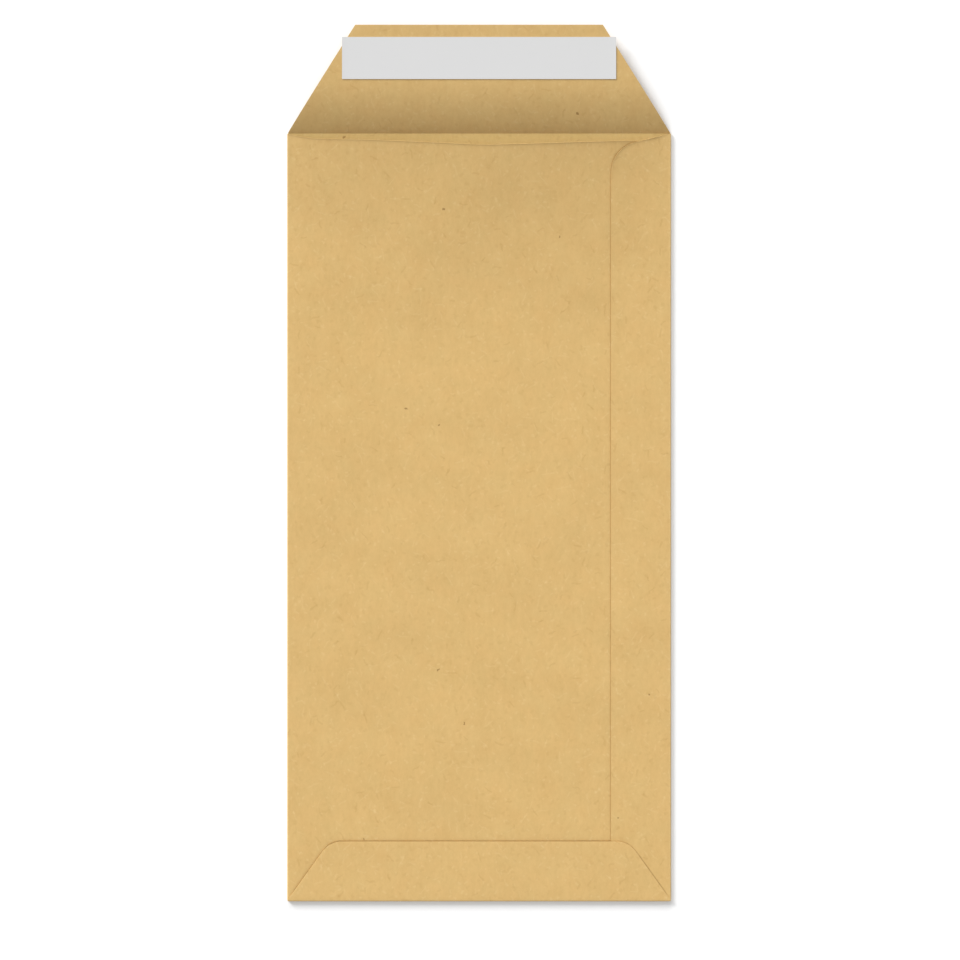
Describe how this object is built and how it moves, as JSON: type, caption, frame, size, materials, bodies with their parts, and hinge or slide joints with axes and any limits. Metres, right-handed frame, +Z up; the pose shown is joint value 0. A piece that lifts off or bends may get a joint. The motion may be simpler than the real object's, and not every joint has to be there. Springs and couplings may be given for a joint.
{
  "type": "paper envelope",
  "caption": "Long brown kraft paper pocket envelope, 110 by 220 mm, lying seam side up with its flap open and a white peel-off strip over the adhesive.",
  "frame": {"origin": "under the middle of the whole outline, flap included, on the plane that the address side lies on", "axes": "+X across the envelope towards the side seam, +Y along it towards the opened closure flap, +Z up out of the seam side"},
  "size_m": [0.11, 0.251, 0.0041],
  "materials": {
    "kraft_paper": "matte brown kraft, faintly ribbed, with fine fibres",
    "liner_paper": "smooth white silicone-coated liner paper",
    "adhesive": "clear tacky film",
    "dried_gum": "dried gum film"
  },
  "bodies": {
    "root": {"envelope_sheet": "kraft_paper", "release_strip": "liner_paper", "seal_adhesive": "adhesive", "side_seam_glue": "dried_gum", "bottom_seam_glue": "dried_gum"}
  },
  "joints": []
}
